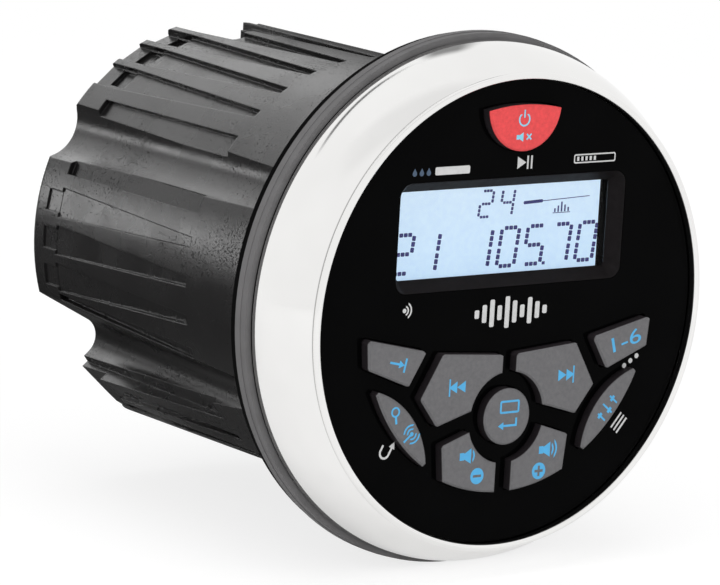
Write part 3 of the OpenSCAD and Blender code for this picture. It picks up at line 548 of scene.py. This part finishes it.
# Arcs of sound in front of a speaker: the radius, and how far out the kept part of the ring starts
SOUND_ARCS = [(1.7, 1.2), (2.5, 1.8)]
RADIO_ARCS = [(1.25, 0.6), (2.1, 1.3)]

# Sliders of the audio mark: the place across, the length, and the height of the knob
SLIDERS = [(-2.1, 2.3, 0.5), (0, 2.9, -0.6), (2.1, 2.3, 0.3)]


def source_mark():
    """Arrow up to a bar."""
    return [bar(1.55, 0, BOLD_LINE, 2.7), bar(-0.9, 0, 2.3, BOLD_LINE), wedge(0.55, 0, 0.85)]


def skip_mark(direction):
    """Two triangles up to a bar, to the right with 1 and to the left with -1."""
    parts = [bar(direction * 2.05, 0, THIN_LINE, 3.3)]
    for middle in (-0.97, 0.97):
        parts.append(wedge(direction * middle, 0, 1.28, 90 - 90 * direction))
    return parts


def screen_outline(x, y):
    return cut_out(bar(x, y, 4.6, 2.5, corner=0.4), bar(x, y, 3.8, 1.7))


def return_arrow(x, y):
    """The line, the upright at its right end and the arrow head at its left end."""
    return [bar(x, y, 3.4, BOLD_LINE), bar(x + 1.5, y + 0.6, BOLD_LINE, 1.6), wedge(x - 1.9, y, 0.85, 180)]


def search_mark():
    return [ring(0, 0, 1.0, 0.34), bar(0, -1.6, 0.45, 1.4)]


def radio_mark():
    """Mast with a knob and arcs to both sides."""
    knob_y = 0.6
    parts = [bar(0, -0.7, 0.45, 2.4), disc(0, knob_y, 0.45)]
    for radius, start in RADIO_ARCS:
        for side in (0, 180):
            parts.append(ring(0, knob_y, radius, LINE, (start, side)))
    return parts


def slider_mark():
    parts = []
    for x, length, knob_y in SLIDERS:
        parts.append(bar(x, 0, LINE, length))
        parts.append(bar(x, knob_y, 1.2, 0.6))
    return parts


def speaker(size):
    return [bar(-0.30 * size, 0, 0.26 * size, 0.36 * size), wedge(0.02 * size, 0, 0.42 * size, 180)]


def loudness_mark(arcs):
    """Speaker with a number of arcs."""
    return speaker(4.0) + [ring(0.1, 0, radius, LINE, (start, 0)) for radius, start in SOUND_ARCS[:arcs]]


def minus_disc(x, y):
    return cut_out(disc(x, y, 1.55), bar(x, y, 1.9, 0.5))


def plus_disc(x, y):
    return cut_out(cut_out(disc(x, y, 1.6), bar(x, y, 2.0, 0.52)), bar(x, y, 0.52, 2.0))


def power_mark(x, y):
    """Open ring with an upright in its gap."""
    return [ring(x, y, 1.35, THIN_LINE, (-0.95, 270)), bar(x, y + 1.05, THIN_LINE, 1.5)]


def silence_mark(x, y):
    """Small speaker with a cross."""
    cross_x = x + 1.9
    return [moved(speaker(2.4), x, y), bar(cross_x, y, 0.3, 1.5, 45), bar(cross_x, y, 0.3, 1.5, -45)]


def legend(key, pieces, look=print_blue):
    printed(key + "_legend", pieces, KEY_TOP_Y, look, key)


legend("source", [moved(source_mark(), -26.2, -7.6, turn=-13)])
legend("preset", [moved([figures("1-6", width=7.0, height=2.9)], 27.2, -7.2, turn=15)])
legend("previous", [moved(skip_mark(-1), -12, -13)])
legend("next", [moved(skip_mark(1), 13.2, -12.6)])
legend("enter", [screen_outline(0.4, -17.7)] + return_arrow(0.6, -21.3))
legend("band", [
    moved(search_mark(), -26.3, -16.6, turn=8),
    moved(radio_mark(), -22.7, -21.4, turn=-51, size=0.9)])
legend("audio", [moved(slider_mark(), 24.1, -19.9, turn=51)])
legend("volume_down", [moved(loudness_mark(1), -9.0, -26.4), minus_disc(-6.4, -30.4)])
legend("volume_up", [moved(loudness_mark(2), 9.8, -26.7), plus_disc(8.3, -30.7)])
legend("power", power_mark(-0.4, 36.7) + silence_mark(-1.0, 33.4), print_pale_blue)


# Marks on the face

# Heights of the bars of the sound figure, and the step from bar to bar
SOUND_BARS = (1.6, 3.4, 5.2, 2.8, 6.0, 4.2, 2.4, 5.0, 3.2, 1.6)
SOUND_STEP = 1.78


def play_mark(x, y):
    return [wedge(x, y, 1.35), bar(x + 1.75, y, 0.38, 2.5), bar(x + 2.65, y, 0.38, 2.5)]


def drop(x, y):
    return moved([disc(0, -0.2, 0.5, 24), wedge(0, 0.32, 0.46, 90)], x, y)


def long_frame(x, y):
    return cut_out(bar(x, y, 10.0, 1.75, corner=0.4), bar(x, y, 9.5, 1.25, corner=0.25))


def sound_figure(left):
    return [bar(left + SOUND_STEP * i, 0, 1.05, tall, corner=0.3) for i, tall in enumerate(SOUND_BARS)]


def wave_mark(x, y):
    return [disc(x, y, 0.42), ring(x, y, 1.0, 0.3, (0.3, 0)), ring(x, y, 1.7, 0.3, (0.9, 0))]


def turn_back_arrow():
    """Half ring with two upright ends, one of them with an arrow head."""
    end_x = 1.04
    return [
        ring(0, -0.5, 1.25, BOLD_LINE, (-0.1, 270)), bar(end_x, 0.35, BOLD_LINE, 1.6),
        bar(-end_x, 0.1, BOLD_LINE, 1.1), wedge(end_x, 1.35, 0.85, 90)]


def face_print(name, pieces, look=print_white):
    printed(name, pieces, FACE_Y, look, "case")


face_print("play_print", play_mark(0.85, 28.2))
face_print("pill_print", [bar(-14.9, 27.55, 8.0, 1.5, corner=0.3)])
face_print("drop_print", [drop(x, 27.5) for x in (-23.6, -22.0, -20.4)], print_dim_blue)
face_print("frame_print", [long_frame(18.6, 28.25)])
face_print("frame_bars_print", [bar(14.6 + i, 28.25, 0.5, 0.8) for i in range(5)])
face_print("sound_print", sound_figure(-7.2))
face_print("wave_print", wave_mark(-24.1, 1.85))
face_print("back_print", [moved(turn_back_arrow(), -26.6, -24.2, turn=-28)])
face_print("dots_print", [disc(29.2 + 1.45 * i, -12.4 + 0.85 * i, 0.5, 24) for i in range(3)])
face_print("list_print", [moved([bar(0, y, 3.6, 0.4) for y in (0.9, 0, -0.9)], 28.8, -23.5, turn=50)])


# Display figures made of short dashes

# Strokes of a figure: a, g, d are level, from the top down; b, c stand on the right, f, e on the left
STROKES = {"0": "abcdef", "1": "bc", "2": "abged", "4": "fgbc", "5": "afgcd", "7": "abc"}
STROKE_DASHES = (-1, 0, 1)
FIGURE_LEAN = 0.13

# Pitch of the dashes: how many fit half the height of a figure, and the share of its width
UPRIGHT_PITCHES = 3.3
LEVEL_PITCH = 0.25

# Large and small figures: width, height, foot line and where each figure starts
LARGE_W = 4.1
LARGE_H = 7.2
LARGE_FOOT = 8.9
LARGE_FIGURES = [
    ("0", -3.6), ("5", 2.6), ("7", 8.9), ("0", 15.1), ("1", -9.9), ("1", -22.2), ("2", -28.2),
]
SMALL_W = 2.8
SMALL_H = 4.9
SMALL_FOOT = 18.5
SMALL_FIGURES = [("2", -8.6), ("4", -3.6)]
LEVEL_BARS = (0.7, 1.2, 1.9, 1.3, 0.8)

# Dark strip of painted shade over the right end of the display, and how far it stands in front of it
STRIP_X = 24.2
STRIP_Z = 15.2
STRIP_W = 1.8
STRIP_H = 18.6
STRIP_LIFT = 0.03 * MM

# The display lies behind the face, so places seen against the face are shifted along the line of sight
SHIFT_X = 3.07
SHIFT_Z = -0.87


def dash_of(width, height):
    """One dash with its corners taken off, copied wherever a figure needs it."""
    return bar(0, 0, width, height, corner=0.22 * min(width, height))


def dash_copy(dash, x, y, turn):
    piece = dash.copy()
    piece.data = dash.data.copy()
    bpy.context.scene.collection.objects.link(piece)
    piece.rotation_euler.z = math.radians(turn)
    piece.location = (x * MM, y * MM, 0)
    return settle(piece)


def dashed_figure(sign, left, foot, width, height, flat, upright):
    """A figure of up to seven strokes, with three dashes to a stroke."""
    parts = []
    pitch = height / 2 / UPRIGHT_PITCHES
    turn = -math.degrees(math.atan(FIGURE_LEAN))
    for stroke in STROKES[sign]:
        if stroke in "agd":
            level = {"a": height, "g": height / 2, "d": 0}[stroke]
            middle = left + width / 2 + FIGURE_LEAN * level
            for i in STROKE_DASHES:
                parts.append(dash_copy(flat, middle + i * width * LEVEL_PITCH, foot + level, 0))
        else:
            middle = height * (0.75 if stroke in "bf" else 0.25)
            across = width if stroke in "bc" else 0
            for i in STROKE_DASHES:
                level = middle + i * pitch
                parts.append(dash_copy(upright, left + across + FIGURE_LEAN * level, foot + level, turn))
    return parts


def lcd_bar(x, z, width, height, turn=0.0, corner=0.0):
    return bar(x + SHIFT_X, z + SHIFT_Z, width, height, turn, corner)


def display_figures():
    flat = dash_of(0.88, 0.76)
    upright = dash_of(0.84, 0.94)
    small_flat = dash_of(0.60, 0.50)
    small_upright = dash_of(0.56, 0.64)
    parts = []
    for sign, x in LARGE_FIGURES:
        parts += dashed_figure(
            sign, x + SHIFT_X, LARGE_FOOT + SHIFT_Z, LARGE_W, LARGE_H, flat, upright)
    for sign, x in SMALL_FIGURES:
        parts += dashed_figure(
            sign, x + SHIFT_X, SMALL_FOOT + SHIFT_Z, SMALL_W, SMALL_H, small_flat, small_upright)
    parts.append(lcd_bar(7.6, LARGE_FOOT, 0.7, 0.6))
    parts.append(lcd_bar(4.3, 20.75, 4.6, 0.62, turn=2, corner=0.25))
    parts.append(lcd_bar(12.2, 21.0, 11.2, 0.16, turn=2))
    for i, tall in enumerate(LEVEL_BARS):
        parts.append(lcd_bar(9.6 + 0.8 * i, SMALL_FOOT + tall / 2, 0.36, tall))
    parts.append(lcd_bar(11.2, 18.35, 4.2, 0.14))
    for dash in (flat, upright, small_flat, small_upright):
        bpy.data.objects.remove(dash)
    return parts


printed("display_figures", display_figures(), LCD_Y, segment_navy, "case")
# Painted shade: a black strip laid over the right end of the lit display
printed(
    "display_end_strip", [bar(STRIP_X, STRIP_Z, STRIP_W, STRIP_H)], LCD_Y - STRIP_LIFT, painted_shade_black,
    "case")


# Bright ring in front of the flange


def bezel_band(outer, inner):
    """An arc with a wall, from an outer to an inner point of the section, spun round the barrel's axis."""
    chord = inner - outer
    across = Vector((chord.y, -chord.x)).normalized()
    middle = (outer + inner) / 2 + across * math.sqrt(BEZEL_ARC_R ** 2 - (chord.length / 2) ** 2)
    centre = (middle.x, middle.y, 0)
    bpy.ops.object.select_all(action="DESELECT")
    bpy.ops.mesh.primitive_circle_add(vertices=ARC_CORNERS, radius=BEZEL_ARC_R, location=centre)
    band = settle(bpy.context.object)
    bpy.ops.object.mode_set(mode="EDIT")
    bpy.ops.mesh.select_all(action="SELECT")
    bpy.ops.mesh.bisect(plane_co=(0, outer.y, 0), plane_no=(0, 1, 0), clear_outer=True)
    bpy.ops.mesh.select_all(action="SELECT")
    bpy.ops.mesh.extrude_region_move()
    bpy.ops.transform.resize(value=[1 - BEZEL_WALL / BEZEL_ARC_R] * 3, center_override=centre)
    bpy.ops.mesh.select_all(action="SELECT")
    bpy.ops.mesh.bisect(plane_co=(inner.x, 0, 0), plane_no=(1, 0, 0), clear_inner=True)
    bpy.ops.mesh.select_all(action="SELECT")
    bpy.ops.mesh.dissolve_faces()
    bpy.ops.mesh.delete(type="ONLY_FACE")
    bpy.ops.mesh.select_all(action="SELECT")
    bpy.ops.mesh.spin(
        steps=BEZEL_STEPS, angle=math.tau, center=(0, 0, 0), axis=(0, 1, 0), use_auto_merge=True)
    bpy.ops.mesh.select_all(action="SELECT")
    bpy.ops.mesh.remove_doubles(threshold=MERGE_GAP)
    bpy.ops.mesh.normals_make_consistent(inside=False)
    bpy.ops.object.mode_set(mode="OBJECT")
    only(band)
    bpy.ops.object.shade_smooth_by_angle(angle=math.radians(SMOOTH_ANGLE))
    return band


def bezel_bead(inner):
    """Round bead along the inner edge of the band."""
    bpy.ops.object.select_all(action="DESELECT")
    bpy.ops.mesh.primitive_torus_add(
        major_radius=inner.x + BEAD_R, minor_radius=BEAD_R,
        major_segments=BEZEL_STEPS, minor_segments=BEAD_CORNERS)
    bead = bpy.context.object
    bead.rotation_euler.x = math.pi / 2
    bead.location.y = inner.y
    settle(bead)
    bpy.ops.object.shade_smooth()
    return bead


def bezel_ring():
    low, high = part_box("chrome_bezel")
    outer = Vector((BEZEL_OUTER_R, high.y))
    inner = Vector((BEZEL_INNER_R, low.y + BEAD_R))
    band = bezel_band(outer, inner)
    bead = bezel_bead(inner)
    only(band)
    bead.select_set(True)
    bpy.ops.object.join()
    band.name = "bezel_ring"
    band.data.name = "bezel_ring"
    band.data.materials.clear()
    band.data.materials.append(chrome_bright)
    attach(band, "case")
    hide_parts("chrome_bezel")


bezel_ring()


# Floor, light and camera

WHITE = (1, 1, 1, 1)
BARREL_AIM = (0, 0.03, 0)
FACE_AIM = (0, -0.02, 0)
OBJECT_AIM = (0, 0, 0)

# The floor keeps the shadow up to the first distance and is plain white from the second one on
FLOOR_SIZE = 8
SHADOW_REACH = 0.2
WHITE_REACH = 0.8

# Camera of the photo: lens and sensor in millimetres, lengths in metres, angles in degrees
LENS_MM = 237.3
SENSOR_MM = 36
CAMERA_REACH = 50
CAMERA_PLACE = (-0.54274, -0.69716, 0.16595)
CAMERA_AZIMUTH = 36.795
CAMERA_ELEVATION = 10.676
CAMERA_ROLL = 3.2855

# Light linking: some light reaches only the barrel, and some reaches all but the barrel
barrel_only = bpy.data.collections.new("barrel_only")
barrel_only.objects.link(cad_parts["rear_housing"])
all_but_barrel = bpy.data.collections.new("all_but_barrel")
all_but_barrel.objects.link(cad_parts["rear_housing"])
all_but_barrel.collection_objects[0].light_linking.link_state = "EXCLUDE"


def seen_rays(tree):
    """One for rays that show the background: from the camera, off metal and through glass."""
    rays = tree.nodes.new("ShaderNodeLightPath").outputs
    direct = reckon(tree, "MAXIMUM", rays["Is Camera Ray"], rays["Is Glossy Ray"])
    return reckon(tree, "MAXIMUM", direct, rays["Is Transmission Ray"])


def glossy_rays(tree):
    return tree.nodes.new("ShaderNodeLightPath").outputs["Is Glossy Ray"]


def studio_floor():
    bpy.ops.object.select_all(action="DESELECT")
    bpy.ops.mesh.primitive_plane_add(size=FLOOR_SIZE, location=(0, 0, FLOOR_Z))
    floor = bpy.context.object
    floor.name = "studio_floor"
    material, tree, shader, place = blank_material("floor_white")
    tones = clouded(tree, noise(tree, place, scale=2), dark=(0.93, 0.93, 0.93), light=(0.95, 0.95, 0.95))
    tree.links.new(tones, shader.inputs["Base Color"])
    shader.inputs["Roughness"].default_value = 0.9
    shader.inputs["Specular IOR Level"].default_value = 0.1
    glow = tree.nodes.new("ShaderNodeEmission")
    reach = length_of(tree, place)
    level = spread(tree, reach, SHADOW_REACH, WHITE_REACH, to_low=1.12, to_high=1.0)
    tree.links.new(level, glow.inputs["Strength"])
    nearby = spread(tree, glossy_rays(tree), low=0, high=1, to_low=0.7, to_high=0.45)
    clear = spread(tree, reach, SHADOW_REACH, WHITE_REACH, to_low=0.0, to_high=1.0)
    tree.links.new(nearby, clear.node.inputs["To Min"])
    share = reckon(tree, "MULTIPLY", seen_rays(tree), clear)
    blend = tree.nodes.new("ShaderNodeMixShader")
    tree.links.new(share, blend.inputs["Fac"])
    tree.links.new(shader.outputs["BSDF"], blend.inputs[1])
    tree.links.new(glow.outputs["Emission"], blend.inputs[2])
    tree.links.new(blend.outputs["Shader"], tree.nodes["Material Output"].inputs["Surface"])
    floor.data.materials.append(material)
    floor.light_linking.receiver_collection = all_but_barrel


def studio_world():
    """Soft light from all sides; white to the camera, and dim in what glossy surfaces mirror."""
    world = bpy.data.worlds.new("studio")
    bpy.context.scene.world = world
    world.use_nodes = True
    tree = world.node_tree
    soft = tree.nodes["Background"]
    soft.inputs["Color"].default_value = WHITE
    soft.inputs["Strength"].default_value = 0.4
    seen = tree.nodes.new("ShaderNodeBackground")
    seen.inputs["Color"].default_value = WHITE
    level = spread(tree, glossy_rays(tree), low=0, high=1, to_low=1.0, to_high=0.1)
    tree.links.new(level, seen.inputs["Strength"])
    choose = tree.nodes.new("ShaderNodeMixShader")
    tree.links.new(seen_rays(tree), choose.inputs["Fac"])
    tree.links.new(soft.outputs["Background"], choose.inputs[1])
    tree.links.new(seen.outputs["Background"], choose.inputs[2])
    tree.links.new(choose.outputs["Shader"], tree.nodes["World Output"].inputs["Surface"])


def glossy_only(sheet, receivers):
    sheet.visible_camera = False
    sheet.visible_diffuse = False
    sheet.visible_transmission = False
    sheet.visible_shadow = False
    sheet.light_linking.receiver_collection = receivers


def clear_and_glow(tree, shader):
    """A clear shader and a glow, added up in place of the plain shader."""
    clear = tree.nodes.new("ShaderNodeBsdfTransparent")
    light = tree.nodes.new("ShaderNodeEmission")
    both = tree.nodes.new("ShaderNodeAddShader")
    tree.links.new(clear.outputs["BSDF"], both.inputs[0])
    tree.links.new(light.outputs["Emission"], both.inputs[1])
    tree.links.new(both.outputs["Shader"], tree.nodes["Material Output"].inputs["Surface"])
    tree.nodes.remove(shader)
    return clear, light


def white_tent():
    """White surround that every glossy surface but the barrel mirrors."""
    bpy.ops.object.select_all(action="DESELECT")
    bpy.ops.mesh.primitive_uv_sphere_add(segments=48, ring_count=24, radius=6)
    tent = bpy.context.object
    tent.name = "white_tent"
    material, tree, shader = blank_material("tent_white")[:3]
    light = clear_and_glow(tree, shader)[1]
    light.inputs["Strength"].default_value = 0.9
    material.cycles.emission_sampling = "NONE"
    tent.data.materials.append(material)
    glossy_only(tent, all_but_barrel)


def softbox(name, place, aim, size, power):
    """Square area lamp that isn't mirrored in glossy surfaces."""
    bpy.ops.object.light_add(type="AREA", location=place)
    lamp = bpy.context.object
    lamp.name = name
    lamp.data.shape = "RECTANGLE"
    lamp.data.size = size
    lamp.data.size_y = size
    lamp.data.energy = power
    lamp.visible_glossy = False
    lamp.rotation_euler = (Vector(aim) - Vector(place)).to_track_quat("-Z", "Y").to_euler()


def card(name, place, aim, width, height, glow=0.0, veil=1.0):
    """Clear sheet with soft edges.

    With a glow it adds sheen to the barrel. With a veil it dims what glossy surfaces mirror behind it.
    """
    bpy.ops.object.select_all(action="DESELECT")
    bpy.ops.mesh.primitive_plane_add(size=2, location=place)
    sheet = bpy.context.object
    sheet.name = name
    sheet.scale = (width / 2, height / 2, 1)
    sheet.rotation_euler = (Vector(aim) - Vector(place)).to_track_quat("Z", "Y").to_euler()
    material, tree, shader, spot = blank_material(name)
    axes = split_axes(tree, spot)
    fades = []
    for axis in "XY":
        out = reckon(tree, "ABSOLUTE", axes[axis])
        fade = spread(tree, out, low=0.3, high=1.0, to_low=1.0, to_high=0.0)
        fade.node.interpolation_type = "SMOOTHSTEP"
        fades.append(fade)
    level = reckon(tree, "MULTIPLY", *fades)
    clear, light = clear_and_glow(tree, shader)
    dim = ramp(tree, level, (0.0, (1, 1, 1)), (1.0, (veil, veil, veil)))
    tree.links.new(dim, clear.inputs["Color"])
    tree.links.new(spread(tree, level, 0, 1, 0, glow), light.inputs["Strength"])
    sheet.data.materials.append(material)
    glossy_only(sheet, barrel_only)


def photo_camera():
    data = bpy.data.cameras.new("photo_camera")
    data.lens = LENS_MM
    data.sensor_width = SENSOR_MM
    data.clip_end = CAMERA_REACH
    camera = bpy.data.objects.new("photo_camera", data)
    bpy.context.scene.collection.objects.link(camera)
    camera.matrix_world = (
        Matrix.Translation(CAMERA_PLACE)
        @ Matrix.Rotation(-math.radians(CAMERA_AZIMUTH), 4, "Z")
        @ Matrix.Rotation(math.pi / 2 - math.radians(CAMERA_ELEVATION), 4, "X")
        @ Matrix.Rotation(math.radians(CAMERA_ROLL), 4, "Z")
    )
    bpy.context.scene.camera = camera


studio_floor()
studio_world()
softbox("top_softbox", (-0.2, -0.1, 1.3), BARREL_AIM, size=1.2, power=8)
softbox("front_softbox", (0.1, -1.4, 0.6), FACE_AIM, size=1.2, power=6.8)
softbox("side_softbox", (-1.0, -0.4, 0.5), BARREL_AIM, size=0.8, power=4)
white_tent()
card("back_glow", (-0.25, 1.5, 0.95), (-0.25, 0, 0.95), width=3.2, height=1.8, glow=4.4)
card("left_glow", (-1.24, 1.5, 0.14), BARREL_AIM, width=1.1, height=0.42, glow=20)
card("low_veil", (0.04, 0.2, FLOOR_Z + 4 * MM), (0.04, 0.2, 1), width=0.36, height=0.32, veil=0.15)
card("front_glow", (-0.9, -1.5, 0.9), BARREL_AIM, width=1.8, height=1.2, glow=10)
card("right_glow", (1.9, -0.1, 0.6), BARREL_AIM, width=1.8, height=1.1, glow=5)
card("side_glow", (-1.9, -0.1, 0.6), BARREL_AIM, width=1.8, height=1.1, glow=5)
card("top_glow", (-0.1, 0.5, 1.6), (0, 0.05, 0), width=1.7, height=1.7, glow=4)
card("top_veil", (-0.25, 1.5, 1.52), (-0.25, 0, 0), width=1.9, height=0.2, veil=0.12)
card("overhead_veil", (-0.25, -0.6, 1.85), OBJECT_AIM, width=3.2, height=1.5, veil=0.9)
card("right_veil", (0.95, 1.5, 1.0), OBJECT_AIM, width=0.5, height=1.5, veil=0.3)
photo_camera()
bpy.context.scene.view_settings.view_transform = "Standard"
